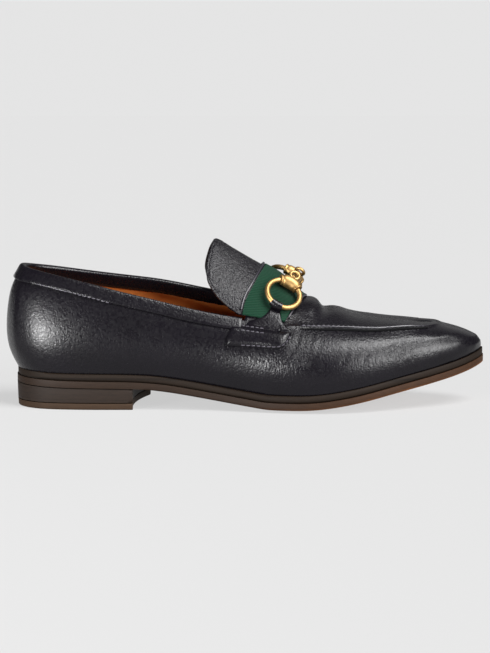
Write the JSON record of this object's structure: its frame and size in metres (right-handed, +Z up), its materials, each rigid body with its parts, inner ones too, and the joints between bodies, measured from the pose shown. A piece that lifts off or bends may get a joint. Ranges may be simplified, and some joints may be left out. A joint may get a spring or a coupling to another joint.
{
  "type": "bit loafer",
  "caption": "Slip-on dress shoe for the right foot, with a low stacked heel, raised apron seam, high tongue, ribbon band and metal snaffle bit.",
  "frame": {"origin": "centre of the shoe's box, on the floor", "axes": "+X towards the toe, +Y towards the foot's inner side, +Z up"},
  "size_m": [0.3034, 0.1006, 0.1031],
  "materials": {
    "calf": "fine-grained black calf, soft gloss",
    "lining": "smooth tan lining leather, matt",
    "outsole": "brown burnished sole edge, amber at the toe",
    "midsole": "dark brown waxed edge",
    "heel_stack": "stacked leather, dark burnished",
    "top_lift": "brown lift, lighter than the stack",
    "ribbon": "ribbed green ribbon",
    "bit": "antique brass, satin polish"
  },
  "bodies": {
    "root": {"outsole": "outsole", "midsole": "midsole", "heel_stack": "heel_stack", "top_lift": "top_lift", "insole": "lining", "upper": "calf", "collar_band": "calf", "tongue": "calf", "instep_band": "ribbon", "piping_rear": "calf", "piping_front": "calf", "ear_lateral": "calf", "ear_medial": "calf", "keeper_lateral": "calf", "keeper_medial": "calf", "ring_lateral": "bit", "ring_medial": "bit", "cheek_lateral": "bit", "cheek_medial": "bit", "centre_link": "bit"}
  },
  "joints": []
}
